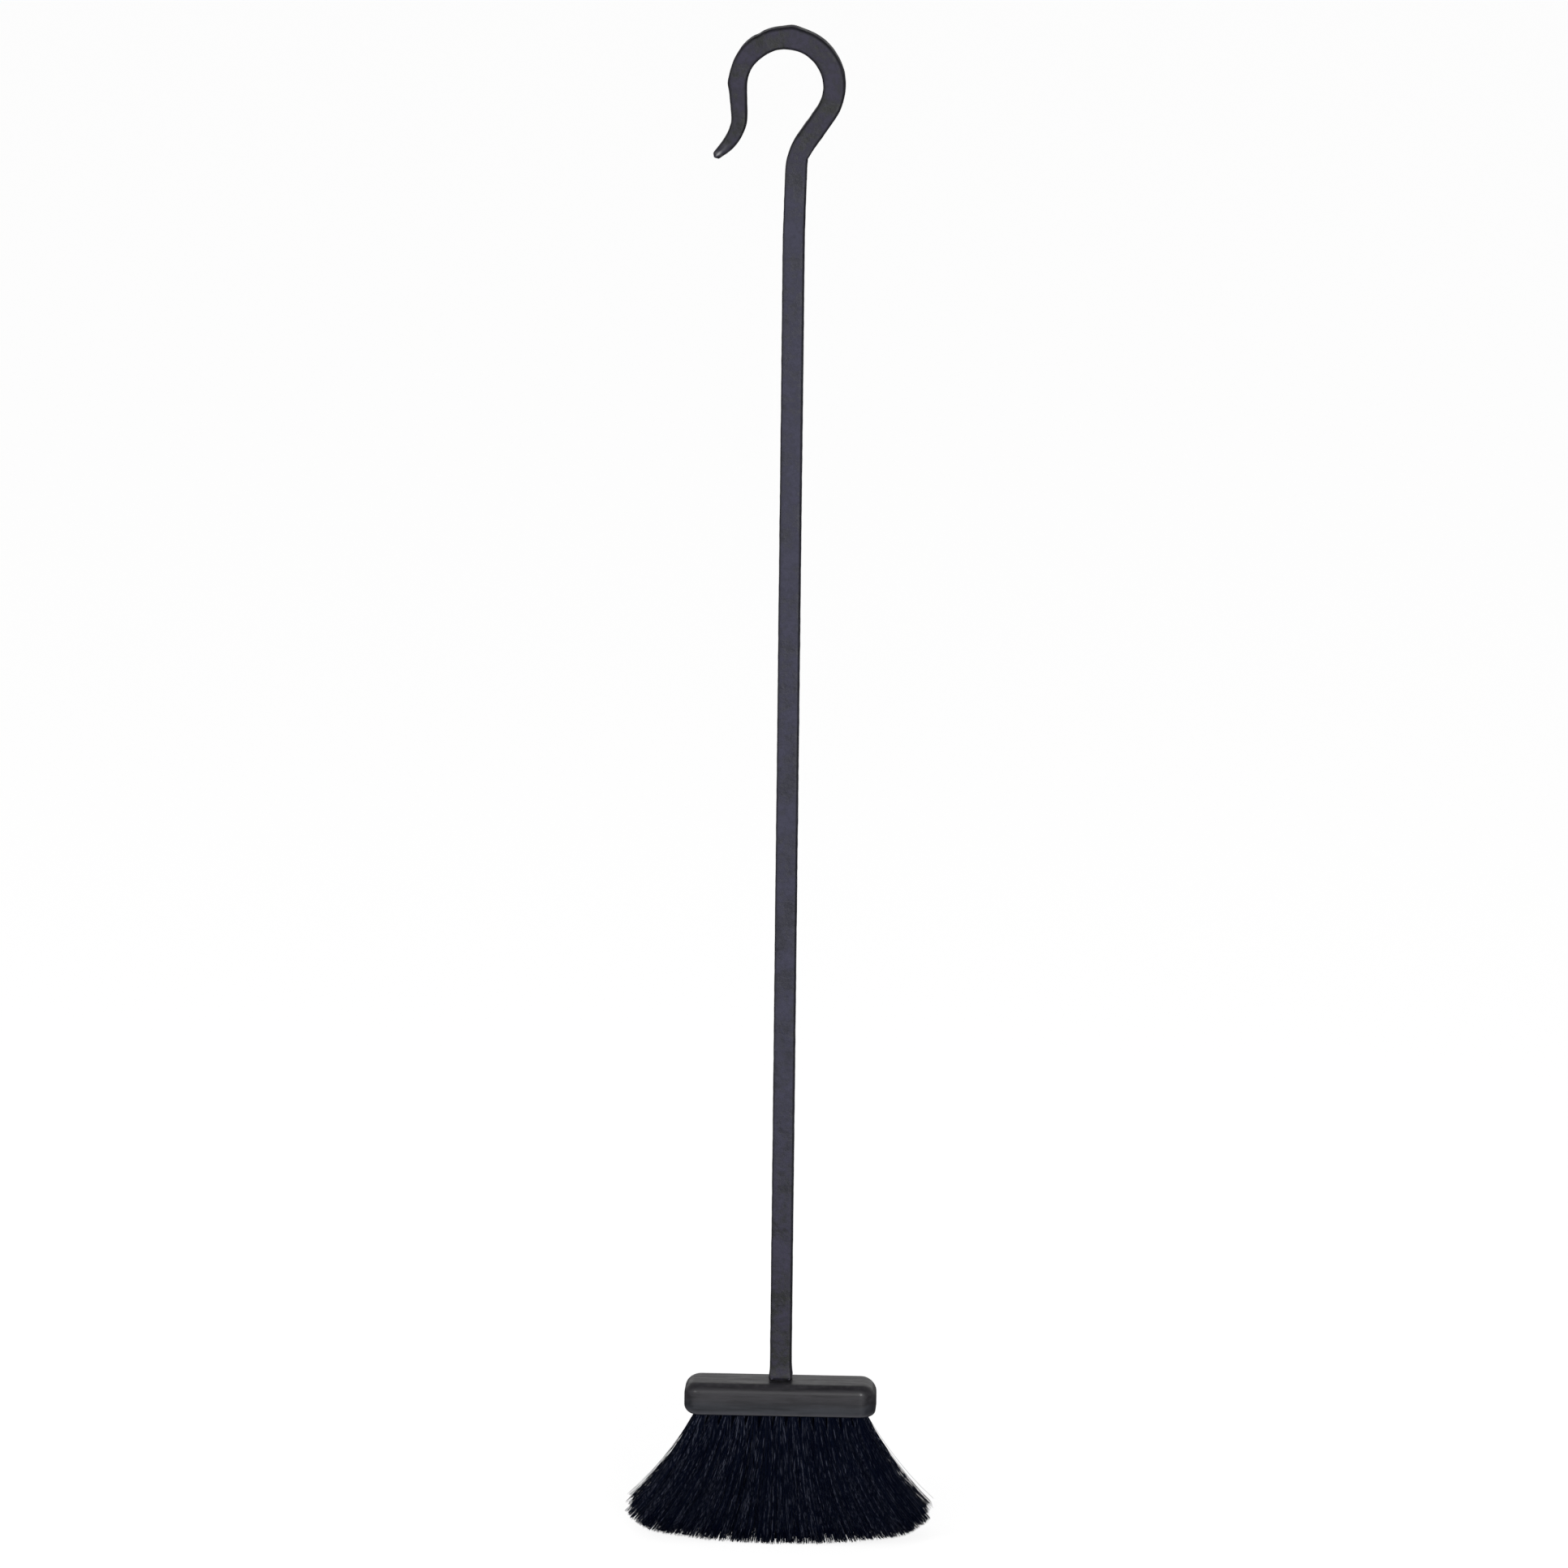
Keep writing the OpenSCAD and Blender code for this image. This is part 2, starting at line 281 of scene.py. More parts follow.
def edge_wear_group():
    """The edge mask where it is higher than a noise threshold, scaled by Amount."""
    sockets = [("Edge", "Float", 0.0), ("Scale", "Float", 120.0), ("Amount", "Float", 0.5)]
    group, get, put = new_group("edge wear", sockets, ["Mask"])
    place = add(group, "TexCoord").outputs["Object"]
    noise = add(group, "TexNoise", {"Vector": place, "Scale": get["Scale"], "Detail": 6.0}).outputs[0]
    rubbed = between(group, maths(group, "MULTIPLY", get["Edge"], noise), 0.44, 0.62)
    group.links.new(maths(group, "MULTIPLY", rubbed, get["Amount"]), put["Mask"])
    return group


def dust_group():
    """How far the surface faces up, times a speckled noise, scaled by Amount."""
    sockets = [("Scale", "Float", 300.0), ("Amount", "Float", 0.2)]
    group, get, put = new_group("dust", sockets, ["Mask"])
    normal = add(group, "NewGeometry").outputs["Normal"]
    up = between(group, add(group, "SeparateXYZ", {0: normal}).outputs["Z"], 0.5, 1.0)
    place = add(group, "TexCoord").outputs["Object"]
    noise = add(group, "TexNoise", {"Vector": place, "Scale": get["Scale"], "Detail": 8.0}).outputs[0]
    specks = between(group, noise, 0.42, 0.68)
    settled = maths(group, "MULTIPLY", up, specks)
    group.links.new(maths(group, "MULTIPLY", settled, get["Amount"]), put["Mask"])
    return group


mottle, grain, edge_wear, dust = mottle_group(), grain_group(), edge_wear_group(), dust_group()
print("groups:", ", ".join(g.name for g in bpy.data.node_groups))

# %% [markdown]
# ## The black iron finish
# The bar is coated black, a satin coat with a faint blue cast that lets the hammered surface
# show. The cast is weaker, and the coat darker, towards the foot and the crook. The four edges
# are darkened with painted shade, where the rounded edges turn away from the light, and the
# point of the crook has a pale grey, partly metallic spot. Two bump layers carry what is too
# fine for the mesh: the slow dents of the hammer and the fine skin of the coat.

# %% Black iron
def black_iron():
    """Satin coat: two dark blues by mottle, darker and less blue at the foot and the crook. Painted
    shade darkens the edges; it is paler in worn specks and has a pale grey spot on the point."""
    material, tree, shader = new_material("black_iron")
    patches = use_group(tree, mottle, {"Scale": 90.0, "Contrast": 4.5})["Value"]
    edge = add(tree, "Attribute", attribute_name="edge").outputs["Fac"]
    tip_spot = add(tree, "Attribute", attribute_name="tip_spot").outputs["Fac"]
    worn = use_group(tree, edge_wear, {"Edge": edge, "Scale": 160.0, "Amount": 0.18})["Mask"]
    height = add(tree, "SeparateXYZ", {0: add(tree, "TexCoord").outputs["Object"]}).outputs["Z"]
    # darker and less blue towards the foot and the crook
    straight = maths(tree, "MULTIPLY", between(tree, height, 0.10, 0.32), between(tree, height, 0.86, 0.80))
    dark = blend_colours(tree, straight, (0.016, 0.017, 0.018, 1), (0.029, 0.029, 0.050, 1))
    light = blend_colours(tree, straight, (0.047, 0.042, 0.078, 1), (0.060, 0.059, 0.105, 1))
    coat = blend_colours(tree, patches, dark, light)
    # painted shade: the four edges are darkened where they turn away from the light
    edge_painted_shade = blend_colours(tree, maths(tree, "MULTIPLY", edge, 0.75), coat, (0.010, 0.010, 0.012, 1))
    chipped = blend_colours(tree, worn, edge_painted_shade, (0.12, 0.115, 0.13, 1))
    # a pale grey, partly metallic spot on the crook's point
    tip_spotted = blend_colours(tree, tip_spot, chipped, (0.50, 0.495, 0.51, 1))
    skin = use_group(tree, mottle, {"Scale": 500.0, "Contrast": 1.0})["Value"]
    dents = use_group(tree, mottle, {"Scale": 45.0, "Contrast": 1.0})["Value"]
    hammered = add(tree, "Bump", {"Height": dents, "Strength": 0.55, "Distance": 0.0008}).outputs[0]
    coated = add(tree, "Bump", {"Height": skin, "Strength": 0.7, "Distance": 0.0003, "Normal": hammered})
    feed(tree, shader, Base_Color=tip_spotted, Roughness=between(tree, patches, 0.3, 0.7, 0.46, 0.60),
         Metallic=maths(tree, "MULTIPLY", tip_spot, 0.35), Normal=coated.outputs[0])
    return material


# %% [markdown]
# ## The handle bar
# A smith takes a square bar, draws one end out to a point, curls that point outwards over the
# anvil's horn and turns the crook round it. Cold bends pinch the bar a little on the inside, and
# the heel of the crook swells. The line of the bar is a list of stretches, each with a length and
# a turn, so the heading is a running sum of turns and the place is a running sum of steps. The
# other way is a curve object with a bevel, but that keeps one section all along, while this bar
# tapers, flares at the foot and becomes a round threaded tenon under it.

# %% The line of the bar
BAR = 12.7 * MM
CROOK_R = 28.5 * MM
NECK_LEAN = 34.0
CROOK_TURN = NECK_LEAN + 180.0 + 3.8
foot_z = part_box("threaded_insert")[1].z
SHANK_LEAN = 1.4
STRETCHES = [                     # (length, turn in degrees, anticlockwise), after the shank
    (4.0 * MM, -SHANK_LEAN),
    (36.0 * MM, 0.0),
    (31.6 * MM * math.radians(NECK_LEAN), SHANK_LEAN - NECK_LEAN),
    (20.6 * MM, 0.0),
    (CROOK_R * math.radians(CROOK_TURN), CROOK_TURN),
    (16.4 * MM, 0.0),
    (6.0 * MM, -20.0),
    (16.5 * MM, -30.0),
    (7.7 * MM, 0.0),
]
BEND, NECK, CROOK, LIMB = 3, 4, 5, 6    # the knots at the start of these four stretches
STEP = 1.3 * MM


def bar_line(shank):
    """Distance s, x, z and heading along the bar. The heading goes evenly through each
    stretch's turn and is averaged over 4 mm, and x and z add up its cosine and sine."""
    lengths = np.array([shank] + [length for length, _ in STRETCHES])
    turns = np.radians([0.0] + [turn for _, turn in STRETCHES])
    knots = np.concatenate([[0], np.cumsum(lengths)])
    fine = np.linspace(0, knots[-1], int(knots[-1] / (0.2 * MM)))
    heading = np.pi / 2 + np.interp(fine, knots, np.concatenate([[0], np.cumsum(turns)]))
    window = np.hanning(21) / np.hanning(21).sum()
    heading = np.convolve(np.pad(heading, 10, mode="edge"), window, mode="valid")
    step = fine[1] - fine[0]
    x = np.concatenate([[0], np.cumsum(np.cos(heading[:-1]))]) * step
    z = np.concatenate([[0], np.cumsum(np.sin(heading[:-1]))]) * step
    s = np.linspace(0, knots[-1], int(knots[-1] / STEP))
    return s, np.interp(s, fine, x), np.interp(s, fine, z), np.interp(s, fine, heading), knots


# %% [markdown]
# How thick the bar is at each place comes from a few stations between which it changes evenly.
# The inner and outer side have their own lists of small marks: a crease inside the neck's bend,
# a swelling on top of the crook and a nick on its shoulder.

# %% How thick the bar is
def bar_sides(s, knots):
    """Distance from the bar's line to its inner and outer side, and half its depth, at s."""
    crook = knots[CROOK]
    at = lambda angle: crook + math.radians(angle + NECK_LEAN) * CROOK_R
    limb = knots[LIMB]
    places = [0, crook, at(0), at(50), at(68), at(84), at(108), at(134), at(150), at(165), at(180)]
    widths = [12.7, 12.8, 13.2, 13.5, 13.0, 13.1, 12.8, 12.7, 11.9, 11.2, 10.9]
    places += [limb + d * MM for d in (5, 11, 18, 25, 32, 39, 45.4)]
    widths += [10.2, 9.8, 9.3, 9.0, 8.2, 6.6, 4.9]
    soft = np.hanning(11) / np.hanning(11).sum()
    width = np.convolve(np.pad(np.interp(s, places, np.array(widths) * MM), 5, mode="edge"), soft, "valid")
    foot = 1.8 * MM * np.clip(1 - s / (9.5 * MM), 0, 1) ** 1.7
    depth = np.minimum(width, BAR) + foot
    inner = (width + foot) / 2
    outer = (width + foot) / 2
    crease = 0.95 * MM * np.exp(-np.abs(s - (knots[BEND] + knots[NECK]) / 2) / (3.4 * MM))
    outer -= crease
    outer += 0.65 * MM * bump_at(s, at(84), 3.4 * MM)
    outer -= 0.45 * MM * bump_at(s, at(119), 1.7 * MM)
    outer += 0.45 * MM * bump_at(s, at(177), 2.6 * MM)
    return inner, outer, depth / 2


# %% [markdown]
# The section is a square with rounded corners. Its points are found from the corner centres: a
# corner's points lie on a small arc round its centre, and the points on a flat side are spread
# evenly between two arcs. The same number of points makes a circle when the radius is nearly
# half the width, so the tenon, the foot and the bar are one grid.

# %% The bar's section
FLAT, ARC = 7, 5


def unit_section():
    """Corner signs and unit directions of a rounded square: each point is the corner centre
    plus radius times its direction, and points on a flat slide between two centres."""
    signs = np.array([[1, 1], [-1, 1], [-1, -1], [1, -1]], float)
    corner, direction, edge = [], [], []
    for k in range(4):
        angles = np.radians(90 * k + np.linspace(0, 90, ARC))
        corner.append(np.repeat(signs[k][None], ARC, 0))
        direction.append(np.stack([np.cos(angles), np.sin(angles)], -1))
        edge.append(np.sin(np.linspace(0, np.pi, ARC)))
        share = np.linspace(0, 1, FLAT + 2)[1:-1, None]
        corner.append(signs[k] * (1 - share) + signs[(k + 1) % 4] * share)
        direction.append(np.repeat(direction[-1][-1:], FLAT, 0))
        edge.append(np.zeros(FLAT))
    return np.concatenate(corner), np.concatenate(direction), np.concatenate(edge)


def section_rings(inner, outer, half_depth, radius):
    """The section at each ring as (rings, points, 2): across the bar's line and along Y."""
    corner, direction, _ = unit_section()
    r = radius[:, None]
    reach = np.where(corner[None, :, 0] > 0, inner[:, None] - r, outer[:, None] - r)
    across = corner[None, :, 0] * reach + r * direction[None, :, 0]
    along_y = corner[None, :, 1] * (half_depth[:, None] - r) + r * direction[None, :, 1]
    return np.stack([across, along_y], -1)


# %% [markdown]
# The tenon's rings come first, from its end up to the foot, and its thread is a ridge whose
# height depends on the turn round the tenon as well as on the height: that makes it a helix.

# %% The handle bar
TENON_R = 4.0 * MM
TENON_L = foot_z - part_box("handle_bar")[0].z
THREAD_PITCH = 1.25 * MM
THREAD_DEPTH = 0.14               # as a share of the tenon's radius
THREAD_START, THREAD_STOP = 0.8 * MM, 1.2 * MM    # plain lengths at the tenon's end and under the foot
CORNER_SOFT = 1.35 * MM           # corner radius of the bar, and what the heated end adds to it
CORNER_HEATED = 0.55 * MM


def tenon_rings():
    """A threaded round rod: radius less a triangle wave of height / pitch - turn."""
    heights = np.linspace(-TENON_L, 0, 68)
    full = np.full(len(heights), TENON_R)
    flat = section_rings(full, full, full, full * 0.995)
    turn = np.arctan2(flat[..., 1], flat[..., 0]) / (2 * np.pi)
    wave = np.abs((heights[:, None] / THREAD_PITCH - turn) % 1 - 0.5) * 2
    threaded = (heights > -TENON_L + THREAD_START) & (heights < -THREAD_STOP)
    flat = flat * (1 - THREAD_DEPTH * wave * threaded[:, None])[..., None]
    level = np.broadcast_to(foot_z + heights[:, None], flat.shape[:2])
    return np.stack([flat[..., 0], flat[..., 1], level], -1)


def bar_rings():
    """The bar's section carried along its line, with a soft uneven surface and a round point."""
    shank = 730 * MM
    for _ in range(3):            # the shank takes up what is left below the CAD model's top
        s, x, z, heading, knots = bar_line(shank)
        inner, outer, half_depth = bar_sides(s, knots)
        shank += cad_hi.z - foot_z - (z + outer * np.abs(np.cos(heading))).max()
    to_end = (s[-1] - s) / (2.3 * MM)
    point = np.sqrt(np.clip(1 - (1 - np.clip(to_end, 0, 1)) ** 2, 0.03, 1))
    inner, outer, half_depth = inner * point, outer * point, half_depth * point
    corner_r = CORNER_SOFT + CORNER_HEATED * (s > knots[NECK])
    radius = np.minimum(corner_r, 0.8 * np.minimum(inner, half_depth))
    sole = 1 - 0.06 * np.exp(-s / (0.5 * MM))
    flat = section_rings(inner * sole, outer * sole, half_depth * sole, radius)
    _, direction, _ = unit_section()
    normal = np.stack([-np.sin(heading), np.zeros_like(s), np.cos(heading)], -1)
    middle = np.stack([x, np.zeros_like(s), foot_z + z], -1)
    points = middle[:, None] + flat[..., :1] * normal[:, None]
    points[..., 1] += flat[..., 1]
    outwards = direction[None, :, :1] * normal[:, None] + direction[None, :, 1:] * [0, 1, 0]
    worked = 0.07 * MM + 0.04 * MM * np.clip((s - knots[BEND]) / (30 * MM), 0, 1)
    uneven = soft_field(points, 14 * MM, seed=3) * 0.6 + soft_field(points, 5 * MM, seed=4) * 0.4
    points = points + outwards * (uneven * worked[:, None])[..., None]
    return points, s, knots


def handle_bar():
    """Tenon and bar as one capped tube, with an edge mask and a tip-spot mask. The spot is
    strongest 3.4 mm from the bar's end, on the front and back faces, and faint up to 13 mm from it."""
    bar, s, knots = bar_rings()
    tenon = tenon_rings()
    points, faces = capped_tube(np.concatenate([tenon, bar]))
    corner, _, edge = unit_section()
    around = len(edge)
    ring_edge = np.concatenate([np.zeros((len(tenon), around)), np.repeat(edge[None], len(s), 0)])
    from_end = s[-1] - s
    to_point = np.clip(1.3 - np.abs(from_end - 3.4 * MM) / (2.4 * MM), 0, 1)
    to_point = np.maximum(to_point, 0.22 * np.clip(1.4 - np.abs(from_end - 7 * MM) / (4 * MM), 0, 1))
    face_side = np.clip(1.1 - np.abs(corner[:, 0]) + 0.25 * soft_field(bar, 5 * MM, seed=9), 0, 1)
    ring_tip_spot = np.concatenate([np.zeros((len(tenon), around)), to_point[:, None] * face_side])
    masks = {"edge": np.append(ring_edge.ravel(), [0, 0]), "tip_spot": np.append(ring_tip_spot.ravel(), [0, 0])}
    return new_piece("handle", points, faces, masks)


handle = handle_bar()
finish_piece(handle, black_iron(), "black_iron", "handle_bar")

# %% [markdown]
# ## The threaded insert
# Wood alone wouldn't hold a threaded tenon for long, so a steel insert is screwed into the block
# and the handle into the insert. Only its collar shows. It is a turned part, so its profile goes
# once round the axis. The profile is a closed loop, which makes the surface a ring with no ends.

# %% Dark steel and the insert
def dark_steel():
    """Blackened steel, darkened further as painted shade under the bar's foot: colour and gloss change with
    mottle and turning lines.
    """
    material, tree, shader = new_material("dark_steel")
    patches = use_group(tree, mottle, {"Scale": 160.0, "Contrast": 1.4})["Value"]
    lines = use_group(tree, grain, {"Stretch": (0.2, 0.2, 6.0), "Scale": 900.0})["Value"]
    # painted shade: the collar is made near black to give the dark crescent of shadow under the bar's foot
    colour = blend_colours(tree, patches, (0.006, 0.006, 0.008, 1), (0.014, 0.013, 0.017, 1))
    turned = add(tree, "Bump", {"Height": lines, "Strength": 0.2, "Distance": 0.00005})
    feed(tree, shader, Base_Color=colour, Metallic=0.6, Normal=turned.outputs[0],
         Roughness=between(tree, patches, 0.3, 0.7, 0.42, 0.58))
    return material


block_lo, block_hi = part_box("brush_block")
insert_lo, insert_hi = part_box("threaded_insert")
COLLAR_R = insert_hi.x
BORE_R = 4.1 * MM
BODY_R = 5.8 * MM
COARSE_PITCH = 2.2 * MM
COARSE_DEPTH = 0.45 * MM


def insert_profile():
    """Radius and height round the insert's section: bore, body, and a collar with a rolled rim."""
    roll = (insert_hi.z - block_hi.z) / 2
    angles = np.radians(np.linspace(-90, 90, 13))
    rim_r = COLLAR_R - roll + roll * np.cos(angles)
    rim_z = block_hi.z + roll + roll * np.sin(angles)
    body_z = np.linspace(insert_lo.z + 0.4 * MM, block_hi.z - 0.2 * MM, 26)
    bore_z = np.linspace(insert_hi.z - 0.3 * MM, insert_lo.z + 0.3 * MM, 12)
    r = [[BORE_R + 0.4 * MM, BODY_R - 0.4 * MM], np.full(len(body_z), BODY_R), rim_r]
    r += [[BORE_R + 0.3 * MM], np.full(len(bore_z), BORE_R)]
    z = [[insert_lo.z, insert_lo.z], body_z, rim_z, [insert_hi.z], bore_z]
    return np.concatenate(r), np.concatenate(z)


def threaded_insert():
    """The profile turned round Z. The body's radius follows a coarse helix, cut inwards."""
    r, z = insert_profile()
    turn = np.linspace(0, 1, 72, endpoint=False)
    wave = np.abs((z[:, None] / COARSE_PITCH - turn) % 1 - 0.5) * 2
    on_body = (np.abs(r - BODY_R) < 1e-7) & (z < block_hi.z - 0.6 * MM)
    radius = r[:, None] - COARSE_DEPTH * wave * on_body[:, None]
    level = np.broadcast_to(z[:, None], radius.shape)
    angle = 2 * np.pi * turn
    points = np.stack([radius * np.cos(angle), radius * np.sin(angle), level], -1).reshape(-1, 3)
    return new_piece("insert", points, [ring_faces(len(r), len(turn), closed_along=True)])


insert = threaded_insert()
finish_piece(insert, dark_steel(), "dark_steel", "threaded_insert")

# %% [markdown]
# ## The block
# The block is shaped on a spindle moulder: a full radius runs round its top, its corners are
# rounded in plan, and its lower edge is only eased. Both edges are rounder at the ends than along
# the sides, where the sander turned. So it can't be a cube with one bevel. The lacquer carries
# painted light: it is paler high on the sides and darker low down, painted shade darkens the
# rounding, and a painted highlight, with some real wear, runs along the lower edge. The material
# takes these from the height and from an edge mask. The plan outline is a set of base points,
# each with a direction, and moving a base point along its direction by the corner radius less an
# inset gives the outline at any inset. The profile then says the inset and height of each of its
# points, and the two together make the grid.

# %% Black lacquer
def black_lacquer():
    """Satin lacquer on wood: grain shows faintly in colour and bump. Painted light makes the sides
    paler upwards and painted shade darkens the rounding; a painted highlight and some wear lighten
    the lower edge, and dust lies on top."""
    material, tree, shader = new_material("black_lacquer")
    fibres = use_group(tree, grain, {"Stretch": (0.08, 1.0, 1.0), "Scale": 420.0})["Value"]
    patches = use_group(tree, mottle, {"Scale": 40.0, "Contrast": 1.3})["Value"]
    edge = add(tree, "Attribute", attribute_name="edge").outputs["Fac"]
    worn = use_group(tree, edge_wear, {"Edge": edge, "Scale": 90.0, "Amount": 0.80})["Mask"]
    settled = use_group(tree, dust, {"Scale": 260.0, "Amount": 0.10})["Mask"]
    streaks = between(tree, fibres, 0.36, 0.64)
    shade = maths(tree, "ADD", maths(tree, "MULTIPLY", streaks, 0.5), maths(tree, "MULTIPLY", patches, 0.5))
    height = add(tree, "SeparateXYZ", {0: add(tree, "TexCoord").outputs["Object"]}).outputs["Z"]
    # painted light: the sides are paler high up and darker low down, as the light falls on them
    painted_light_rise = between(tree, height, block_lo.z + 4 * MM, block_lo.z + 11 * MM)
    painted_shaded_low = blend_colours(tree, shade, (0.014, 0.016, 0.021, 1), (0.049, 0.053, 0.068, 1))
    painted_lit_high = blend_colours(tree, shade, (0.022, 0.021, 0.025, 1), (0.062, 0.060, 0.070, 1))
    # painted shade: the top rounding is darkened where it turns away from the light
    rounding_painted_shade = maths(tree, "MULTIPLY", between(tree, height, block_hi.z - 5.5 * MM, block_hi.z - 3 * MM),
                        between(tree, height, block_hi.z - 0.2 * MM, block_hi.z - 1.6 * MM))
    coat = blend_colours(tree, painted_light_rise, painted_shaded_low, painted_lit_high)
    coat = blend_colours(tree, maths(tree, "MULTIPLY", rounding_painted_shade, 0.35), coat, (0.012, 0.011, 0.014, 1))
    # painted highlight: the lower edge is made pale where it catches light; the edge wear adds real rubbing
    painted_edge_highlight = blend_colours(tree, maths(tree, "MULTIPLY", edge, 0.6), coat, (0.16, 0.16, 0.18, 1))
    rubbed = blend_colours(tree, worn, painted_edge_highlight, (0.17, 0.17, 0.18, 1))
    dusty = blend_colours(tree, settled, rubbed, (0.30, 0.29, 0.30, 1))
    ridges = add(tree, "Bump", {"Height": fibres, "Strength": 0.30, "Distance": 0.0002}).outputs[0]
    slow = add(tree, "Bump", {"Height": patches, "Strength": 0.15, "Distance": 0.0004, "Normal": ridges})
    feed(tree, shader, Base_Color=dusty, Roughness=between(tree, shade, 0.3, 0.7, 0.40, 0.54),
         Normal=slow.outputs[0], Coat_Weight=0.12)
    return material


# %% The block's surface
CORNER_R = 10.0 * MM
TOP_R, TOP_R_LEFT, TOP_R_RIGHT = 5.6 * MM, 7.4 * MM, 8.2 * MM    # along the sides, then at the ends
LOW_R, LOW_R_LEFT, LOW_R_RIGHT = 1.4 * MM, 4.8 * MM, 3.2 * MM
SIDE_POINTS, END_POINTS, CORNER_POINTS = 56, 10, 14
LOW_POINTS, FLAT_POINTS, TOP_POINTS = 8, 6, 11
INNER_RINGS = 7                   # rings that fill in the flat faces above and below


def plan_outline():
    """Base points on the rectangle of corner centres, and the direction outwards at each."""
    core = np.array([block_hi.x - CORNER_R, block_hi.y - CORNER_R])
    signs = np.array([[1, 1], [-1, 1], [-1, -1], [1, -1]], float)
    base, direction = [], []
    for k in range(4):
        angles = np.radians(90 * k + np.linspace(0, 90, CORNER_POINTS))
        here, ahead = signs[k] * core, signs[(k + 1) % 4] * core
        base.append(np.repeat(here[None], CORNER_POINTS, 0))
        direction.append(np.stack([np.cos(angles), np.sin(angles)], -1))
        count = END_POINTS if k % 2 else SIDE_POINTS
        share = np.linspace(0, 1, count + 2)[1:-1, None]
        base.append(here * (1 - share) + ahead * share)
        direction.append(np.repeat(direction[-1][-1:], count, 0))
    return np.concatenate(base), np.concatenate(direction)


def block_profile(direction):
    """Inset, height and edge mask up the block's side, for each outline point: an eased lower
    edge, a flat side and a rounded top, whose radii grow from the sides to the ends."""
    to_end = np.abs(direction[:, 0]) ** 2
    left = direction[:, 0] < 0
    low_r = (LOW_R * (1 - to_end) + np.where(left, LOW_R_LEFT, LOW_R_RIGHT) * to_end)[None]
    top_r = (TOP_R * (1 - to_end) + np.where(left, TOP_R_LEFT, TOP_R_RIGHT) * to_end)[None]
    low = np.radians(np.linspace(-90, 0, LOW_POINTS))[:, None]
    high = np.radians(np.linspace(0, 90, TOP_POINTS))[:, None]
    flat = np.zeros((FLAT_POINTS, len(direction)))
    inset = [low_r * (1 - np.cos(low)), flat, top_r * (1 - np.cos(high))]
    share = np.linspace(0, 1, FLAT_POINTS + 2)[1:-1, None]
    side_lo, side_hi = block_lo.z + low_r, block_hi.z - top_r
    height = [block_lo.z + low_r * (1 + np.sin(low)), side_lo * (1 - share) + side_hi * share,
              block_hi.z - top_r * (1 - np.sin(high))]
    # the edge mask peaks on the upper part of the lower rounding, where the painted highlight lies
    edge = [np.exp(-((low + 0.35) / 0.35) ** 2) + 0 * low_r, flat, 0 * inset[2]]
    return np.concatenate(inset), np.concatenate(height), np.concatenate(edge)


def block_surface():
    """Outline and profile combined, filled in to the middle above and below."""
    base, direction = plan_outline()
    inset, height, edge = block_profile(direction)
    plan = base[None] + direction[None] * (CORNER_R - inset)[..., None]
    shares = np.linspace(0.04, 0.9, INNER_RINGS)
    below = plan[0][None] * shares[:, None, None]
    above = plan[-1][None] * shares[::-1][:, None, None]
    plan = np.concatenate([below, plan, above])
    low_level, high_level = np.repeat(height[:1], INNER_RINGS, 0), np.repeat(height[-1:], INNER_RINGS, 0)
    level = np.concatenate([low_level, height, high_level])
    edge = np.concatenate([np.zeros_like(below[..., 0]), edge, np.zeros_like(above[..., 0])])
    points = np.concatenate([plan, level[..., None]], -1)
    sanded = 0.05 * MM * soft_field(points, 28 * MM, seed=21)
    points[..., :2] += direction[None] * (sanded * (np.abs(level - block_lo.z) > 0))[..., None]
    flat, faces = capped_tube(points)
    return new_piece("block", flat, faces, {"edge": np.append(edge.ravel(), [0, 0])})


block = block_surface()
finish_piece(block, black_lacquer(), "black_lacquer", "brush_block")

# %% [markdown]
# ## The bristles
# A brush is filled one hole at a time: a bunch of bristles is folded over a flat staple and
# punched into its hole. The bristles leave the hole tightly packed and spread as they go down.
# Then the whole brush is trimmed to a shallow curve. Blender's hair system could do this, but
# real geometry exports as it is seen. Each bristle is a three-sided tube with nine rings, so
# that fourteen thousand of them stay light, and the five rows are five pieces.

# %% Where the tufts stand
ROWS, COLUMNS = 5, 13
TUFT_PITCH = 7.8 * MM
ROW_PITCH = 6.0 * MM
FOCUS = 80.0 * MM                 # where the fan's straight lines would meet, above the block
ROOT_R = 2.35 * MM                # a tuft's radius at its hole
TIP_SPREAD = np.array([10.2, 4.4]) * MM    # how far a tuft's own bristles spread at the tips, in X and Y
TRIM_R = 490.0 * MM
TURN_UP_AT, TURN_UP_RUN, TURN_UP_RISE = 72.0 * MM, 10.0 * MM, 2.1 * MM
PER_TUFT = 225
BRISTLE_R = 0.18 * MM
CLUMPS = 9                        # clumps in a tuft
LEVELS = 9                        # rings along a bristle
STRAY_SHARE = 0.010


def tuft_places(row):
    """Places of a row's tufts: evenly spaced about the middle, every second row staggered."""
    count = COLUMNS - (row + 1) % 2
    x = (np.arange(count) - (count - 1) / 2) * TUFT_PITCH
    return np.stack([x, np.full(count, (row - (ROWS + 1) / 2) * ROW_PITCH)], -1)


def fan_growth(depth):
    """How far the fan has spread at a depth below the block, as a share of where it began. It
    starts slower than straight lines through the focus and ends faster, as bent bristles do."""
    return (0.44 * depth + 0.66 * depth ** 2 / block_lo.z) / FOCUS


def evened(share):
    """Turns a coordinate of points spread evenly over a disc, from -1 to 1, into one that is
    spread evenly along the line: twice the disc's area up to that coordinate, less one."""
    return 2 * (share * np.sqrt(1 - share ** 2) + np.arcsin(share)) / np.pi


